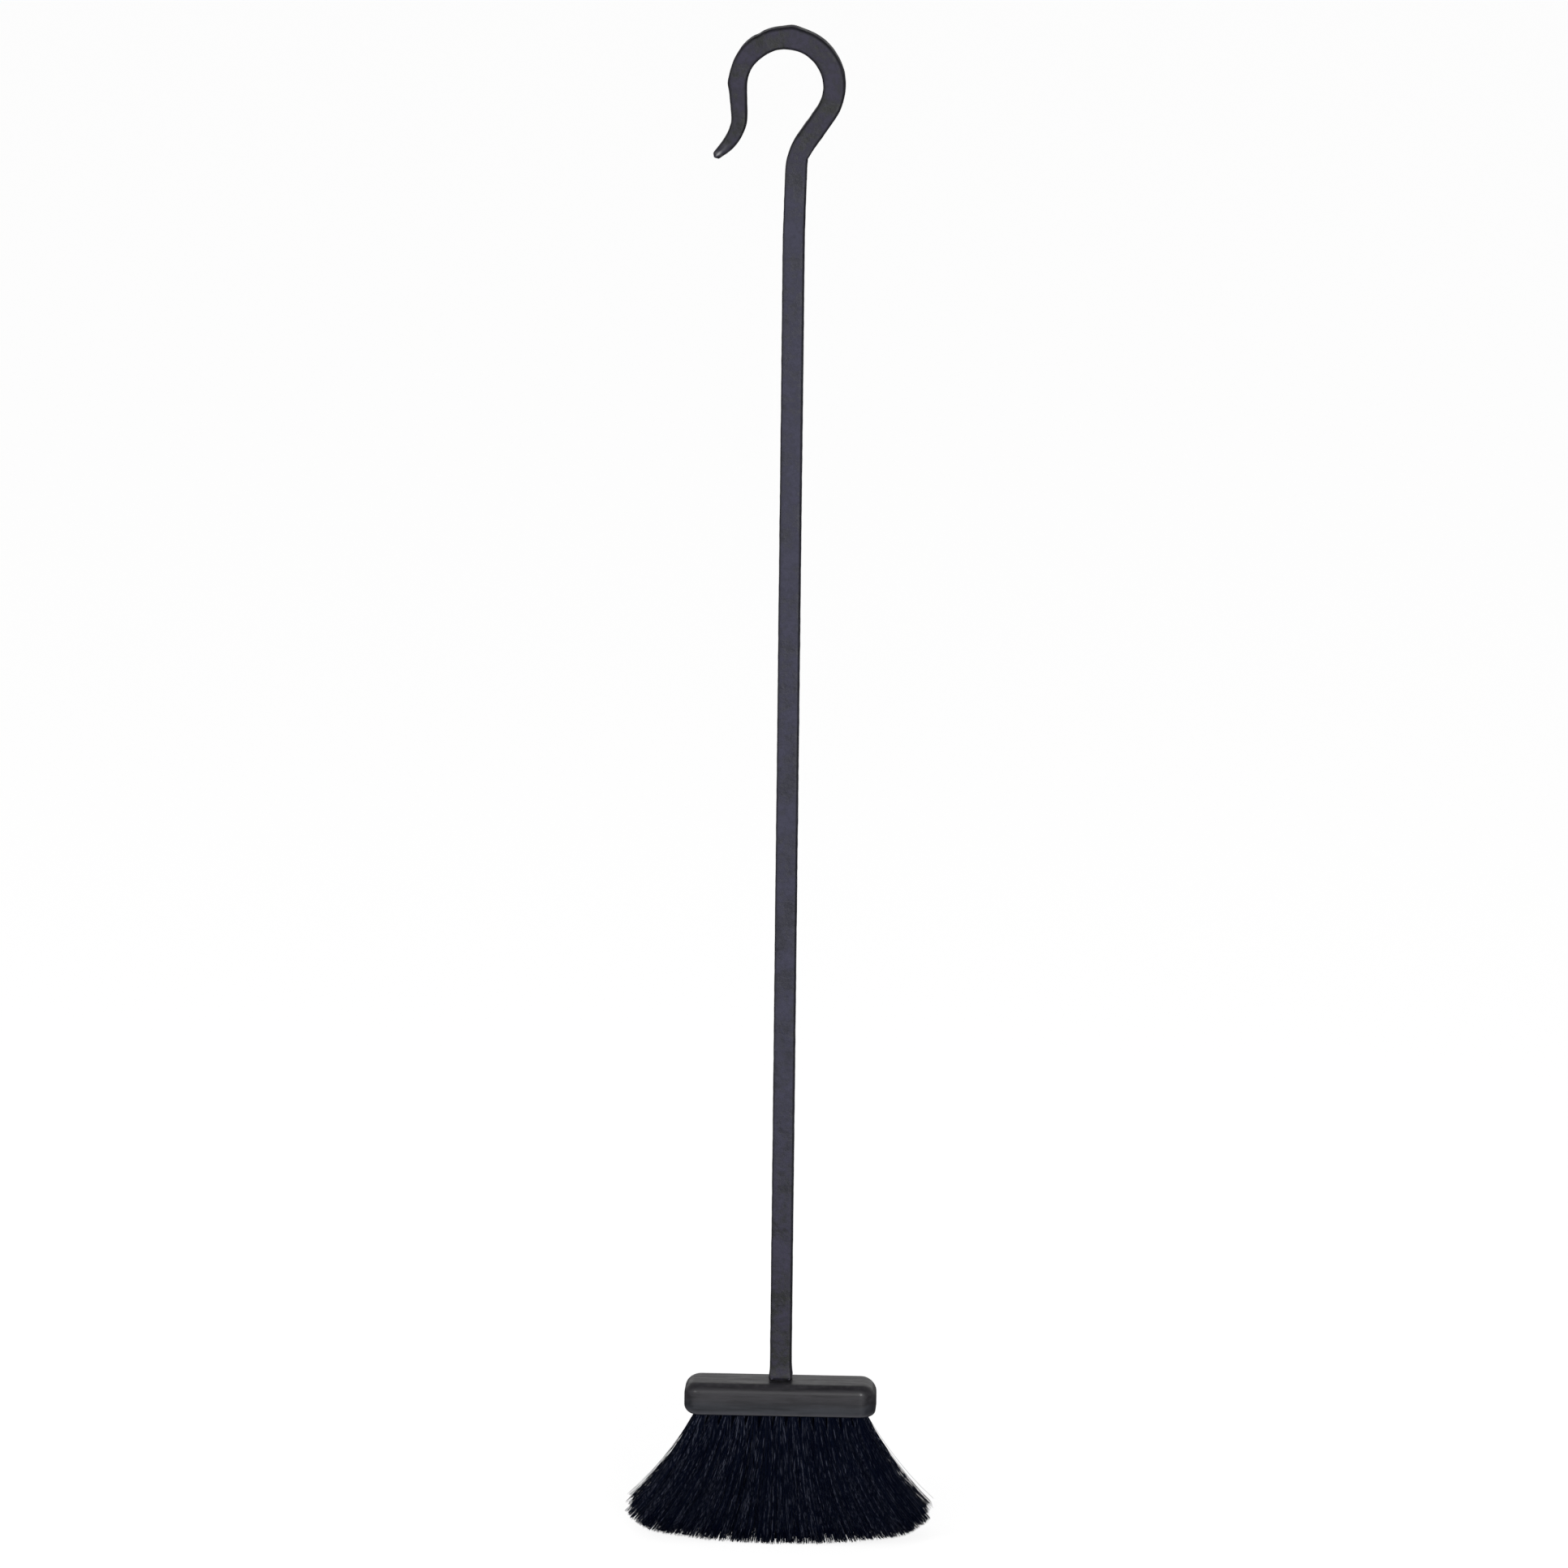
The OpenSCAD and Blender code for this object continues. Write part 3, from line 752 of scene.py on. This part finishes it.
def trimmed_height(x):
    """Height of the trimmed ends: a circle's lowest part, of radius TRIM_R, plus a rise that
    grows with the square of the distance past TURN_UP_AT."""
    past = np.clip((np.abs(x) - TURN_UP_AT) / TURN_UP_RUN, 0, 2.4)
    return TRIM_R - np.sqrt(TRIM_R ** 2 - x ** 2) + TURN_UP_RISE * past ** 2


# %% [markdown]
# Bristles stick together in small clumps, so each tuft has nine, and a clump shares its drift
# and part of its length. That gives the locks and the ragged ends of a used brush.

# %% One row of bristles
def bristle_lines(row):
    """The middle lines (bristles, levels, 3) of a row, their depth shares, their shades and the
    random source. Plan place = fan of the tuft's place + root + spread + drift + waviness. A
    stray bristle drifts more and is cut shorter."""
    draw = np.random.default_rng(100 + row)
    places = np.repeat(tuft_places(row), PER_TUFT, 0)
    count = len(places)
    turn = draw.uniform(0, 2 * np.pi, count)
    disc = np.sqrt(draw.uniform(0, 1, count))[:, None] * np.stack([np.cos(turn), np.sin(turn)], -1)
    clump = np.arange(count) // PER_TUFT * CLUMPS + (turn / (2 * np.pi) * CLUMPS).astype(int)
    clumps = clump.max() + 1
    stray = draw.uniform(size=count) < STRAY_SHARE
    drift = draw.normal(0, 0.35 * MM, (clumps, 2))[clump] + draw.normal(0, 1.5 * MM, (count, 2))
    drift[stray] += draw.normal(0, 1.6 * MM, (stray.sum(), 2))
    drift[:, 1] = np.clip(drift[:, 1] * 0.5, -1.2 * MM, 1.2 * MM)
    shorter = np.abs(draw.normal(0, 0.4 * MM, count))
    shorter += draw.uniform(0, 1, clumps)[clump] ** 4 * 0.6 * MM
    shorter[stray] += draw.uniform(0, 1.5 * MM, stray.sum())
    root = disc * ROOT_R
    reach = TIP_SPREAD + np.array([0.5 * TUFT_PITCH * ((row + 1) % 2), 0])    # a short row fills out
    spread = evened(disc) * reach - root
    length = np.full(count, block_lo.z)
    for _ in range(8):            # the trim depends on where the tip is, which depends on the trim
        tip_x = places[:, 0] * (1 + fan_growth(length)) + root[:, 0] + spread[:, 0] + drift[:, 0]
        length = (length + block_lo.z - trimmed_height(tip_x) - shorter) / 2
    t = np.concatenate([[-0.05], np.linspace(0, 1, LEVELS - 1) ** 0.9])[None, :, None]
    below = np.clip(t, 0, 1)
    depth = length[:, None, None] * t
    wave_out = draw.normal(size=(count, 1, 2)) * [0.65 * MM, 0.3 * MM]
    cycles, start = draw.uniform(0.8, 2.8, (count, 1, 1)), draw.uniform(size=(count, 1, 1))
    wave = np.sin(2 * np.pi * (below * cycles + start)) * below
    plan = places[:, None] * (1 + fan_growth(depth)) + root[:, None] + spread[:, None] * below ** 0.65
    plan = plan + drift[:, None] * below ** 1.2 + wave_out * wave
    shade = 0.9 * draw.uniform(size=count) + 0.1 * draw.uniform(size=clumps)[clump]
    return np.concatenate([plan, block_lo.z - depth], -1), below, shade, draw


def bristle_row(row):
    """Three-sided tubes round a row's lines: each ring is a level triangle, thinner to the tip."""
    lines, below, shade, draw = bristle_lines(row)
    count = len(lines)
    thick = (BRISTLE_R * draw.uniform(0.8, 1.2, count))[:, None] * np.linspace(1, 0.75, LEVELS)[None]
    angle = draw.uniform(0, 2 * np.pi, count)[:, None, None] + np.radians([0, 120, 240])[None, None]
    ring = np.stack([np.cos(angle), np.sin(angle), 0 * angle], -1)
    points = lines[:, :, None] + ring * thick[:, :, None, None]
    starts = (np.arange(count) * LEVELS * 3)[:, None]
    sides = (ring_faces(LEVELS, 3).ravel()[None] + starts).reshape(-1, 4)
    last = 3 * (LEVELS - 1)
    ends = (np.array([0, 2, 1, last, last + 1, last + 2])[None] + starts).reshape(-1, 3)
    down = np.broadcast_to(below[..., None], (count, LEVELS, 3, 1)).ravel()
    masks = {"shade": np.repeat(shade, LEVELS * 3), "down": down}
    return new_piece(f"bristles_{row}", points.reshape(-1, 3), [sides, ends], masks)


# %% [markdown]
# The bristles are dyed near black with a blue cast. Each has its own shade, from an attribute
# with one random number per bristle. Half of them carry painted highlights, pale only here and
# there along their length, where a grain lets it through: that makes short fine glints. The ends
# are a little paler where the trim cut them.

# %% Bristle finish and the five rows
def bristle_finish():
    """Near black: two blues by each bristle's shade times a grain, the pale one a painted highlight; paler
    at the cut end.
    """
    material, tree, shader = new_material("bristle")
    shade = add(tree, "Attribute", attribute_name="shade").outputs["Fac"]
    down = add(tree, "Attribute", attribute_name="down").outputs["Fac"]
    glint_breaks = use_group(tree, grain, {"Stretch": (1.0, 1.0, 0.09), "Scale": 900.0})["Value"]
    # painted highlight: pale short glints on about half the bristles, broken along their length by a grain
    painted_glint = maths(tree, "MULTIPLY", between(tree, shade, 0.50, 0.98), between(tree, glint_breaks, 0.45, 0.62))
    body = blend_colours(tree, painted_glint, (0.0015, 0.0034, 0.0160, 1), (0.165, 0.180, 0.250, 1))
    cut = maths(tree, "MULTIPLY", between(tree, down, 0.93, 1.0), 0.30)
    tipped = blend_colours(tree, cut, body, (0.016, 0.019, 0.034, 1))
    feed(tree, shader, Base_Color=tipped, Roughness=between(tree, shade, 0.0, 1.0, 0.40, 0.58),
         Specular_IOR_Level=0.10, Specular_Tint=(0.55, 0.70, 1.0, 1))
    return material


bristle_material = bristle_finish()
for row in range(1, ROWS + 1):
    finish_piece(bristle_row(row), bristle_material, "bristle", f"bristle_row_{row}")

# %% [markdown]
# ## The staples
# The staples sit at the bottom of the holes, under the folded bristles. Nothing of them shows,
# so the CAD solids stay, and they only get a drawn steel finish.

# %% Staple wire
def staple_wire():
    """Bright drawn steel, with grain along the strip."""
    material, tree, shader = new_material("staple_wire")
    lines = use_group(tree, grain, {"Stretch": (1.0, 1.0, 8.0), "Scale": 500.0})["Value"]
    colour = blend_colours(tree, lines, (0.40, 0.40, 0.42, 1), (0.60, 0.60, 0.62, 1))
    feed(tree, shader, Base_Color=colour, Metallic=1.0, Roughness=between(tree, lines, 0.3, 0.7, 0.28, 0.42))
    return material


staple_material = staple_wire()
for row in range(1, ROWS + 1):
    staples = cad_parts[f"staple_row_{row}"]
    staples.data.materials.clear()
    staples.data.materials.append(staple_material)

# %% [markdown]
# ## Floor, light and camera
# A dark satin object is shaped by what it reflects. The room is bright in front, where the faces
# look, and low down behind, where the top of the block looks at a shallow angle. It is dim above
# and at the sides, so the rounded edges read dark. Two soft boxes, left and right of the camera,
# mark the block's front corners. The floor is plain and pale. It is darker to reflections than to
# the eye, or the sides of the bar would shine with it.

# %% Floor
def pale_floor():
    """A wide flat square, white to the eye and grey to the light that bounces off it."""
    half = 60.0
    corners = np.array([[-half, -half, 0], [half, -half, 0], [half, half, 0], [-half, half, 0]], float)
    mesh = bpy.data.meshes.new("floor")
    mesh.from_pydata(corners - [0, 0, 0.5 * MM], [], [(0, 1, 2, 3)])
    floor = bpy.data.objects.new("floor", mesh)
    bpy.context.scene.collection.objects.link(floor)
    material, tree, shader = new_material("pale_floor")
    seen = add(tree, "LightPath").outputs["Is Camera Ray"]
    colour = blend_colours(tree, seen, (0.30, 0.30, 0.30, 1), (0.98, 0.98, 0.98, 1))
    glow = blend_colours(tree, seen, (0, 0, 0, 1), (0.80, 0.80, 0.80, 1))
    feed(tree, shader, Base_Color=colour, Roughness=1.0, Specular_IOR_Level=0.0,
         Emission_Color=glow, Emission_Strength=1.0)
    mesh.materials.append(material)


pale_floor()


# %% Light
def studio_world(front=1.08, back=0.36, rest=0.30):
    """White to the eye. For light, bright in front (-Y) up to 17 degrees above level and fading
    until 38, fairly bright low down behind (+Y), and dim everywhere else."""
    world = bpy.data.worlds.new("studio")
    bpy.context.scene.world = world
    world.use_nodes = True
    tree = world.node_tree
    tree.nodes.clear()
    way = add(tree, "SeparateXYZ", {0: add(tree, "TexCoord").outputs["Generated"]})
    facing = between(tree, maths(tree, "MULTIPLY", way.outputs["Y"], -1.0), 0.60, 0.94, rest, front)
    ahead = maths(tree, "MULTIPLY", facing, between(tree, way.outputs["Z"], 0.30, 0.62, 1.0, 0.22))
    behind = between(tree, way.outputs["Y"], 0.55, 0.95, 0.0, back)
    level = maths(tree, "ADD", ahead, behind)
    seen = add(tree, "LightPath").outputs["Is Camera Ray"]
    power = add(tree, "Mix", {0: seen, 2: level, 3: 1.0}, data_type="FLOAT").outputs[0]
    glow = add(tree, "Background", {"Color": (1, 1, 1, 1), "Strength": power})
    tree.links.new(glow.outputs[0], tree.nodes.new("ShaderNodeOutputWorld").inputs[0])


def soft_box(name, place, aim, size, power):
    """A square area light at a place, facing a point."""
    data = bpy.data.lights.new(name, "AREA")
    data.size, data.energy = size, power
    lamp = bpy.data.objects.new(name, data)
    lamp.location = place
    lamp.rotation_euler = (Vector(aim) - Vector(place)).to_track_quat("-Z", "Y").to_euler()
    bpy.context.scene.collection.objects.link(lamp)


studio_world()
soft_box("left_box", (-1.9, -2.0, 0.7), (0, 0, 0.15), 0.8, 13)
soft_box("right_box", (0.75, -2.6, 0.5), (0, 0, 0.15), 0.6, 19)


# %% Camera
def studio_camera(azimuth=2.1, elevation=11.0, distance=8.0, roll=0.66,
                  aim=(-0.0021, 0, 0.4591), frame_m=0.9335):
    """A long lens that looks at the aim from a little above. The frame's width is frame_m."""
    a, e = math.radians(azimuth), math.radians(elevation)
    back = Vector((math.sin(a) * math.cos(e), -math.cos(a) * math.cos(e), math.sin(e)))
    data = bpy.data.cameras.new("camera")
    data.sensor_width = 36.0
    data.lens = data.sensor_width * distance / frame_m
    data.clip_end = 200.0
    camera = bpy.data.objects.new("camera", data)
    turned = (-back).to_track_quat("-Z", "Y").to_matrix() @ Matrix.Rotation(math.radians(roll), 3, "Z")
    camera.matrix_world = Matrix.Translation(Vector(aim) + back * distance) @ turned.to_4x4()
    bpy.context.scene.collection.objects.link(camera)
    bpy.context.scene.camera = camera


studio_camera()
bpy.context.scene.view_settings.view_transform = "Standard"
